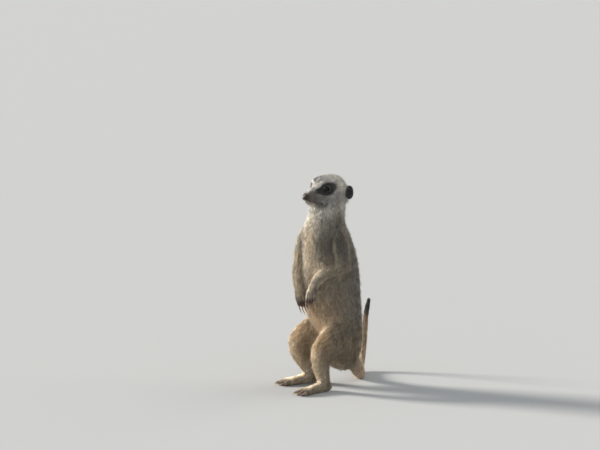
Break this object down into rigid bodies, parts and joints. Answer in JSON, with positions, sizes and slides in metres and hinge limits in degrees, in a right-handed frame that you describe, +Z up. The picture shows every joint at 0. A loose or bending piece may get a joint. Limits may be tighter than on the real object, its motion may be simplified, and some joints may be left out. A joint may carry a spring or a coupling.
{
  "type": "meerkat",
  "caption": "Life-size still model of a meerkat half crouched upright on its hind feet, forepaws hanging before its belly.",
  "frame": {"origin": "on the floor under the middle of the bounding box", "axes": "+Z up; the body faces -Y and its left side is towards +X"},
  "size_m": [0.1182, 0.1916, 0.2789],
  "materials": {
    "coat": "short dense fur, grizzled tan, with dark bands across the back",
    "nose": "bare damp skin",
    "ear": "thin black skin with very short fur",
    "eye": "wet, glossy",
    "claw": "horn, satin"
  },
  "bodies": {
    "root": {"claw_foot_left_1": "claw", "claw_foot_left_2": "claw", "claw_foot_left_3": "claw", "claw_foot_left_4": "claw", "claw_foot_right_1": "claw", "claw_foot_right_2": "claw", "claw_foot_right_3": "claw", "claw_foot_right_4": "claw", "claw_hand_left_1": "claw", "claw_hand_left_2": "claw", "claw_hand_left_3": "claw", "claw_hand_left_4": "claw", "claw_hand_right_1": "claw", "claw_hand_right_2": "claw", "claw_hand_right_3": "claw", "claw_hand_right_4": "claw", "ear_left": "ear", "ear_right": "ear", "eye_left": "eye", "eye_right": "eye", "foot_left": "coat", "foot_right": "coat", "forearm_left": "coat", "forearm_right": "coat", "hand_left": "coat", "hand_right": "coat", "head": "coat", "neck": "coat", "nose": "nose", "shank_left": "coat", "shank_right": "coat", "tail_base": "coat", "tail_middle": "coat", "tail_tip": "coat", "thigh_left": "coat", "thigh_right": "coat", "trunk": "coat", "upper_arm_left": "coat", "upper_arm_right": "coat"}
  },
  "joints": []
}
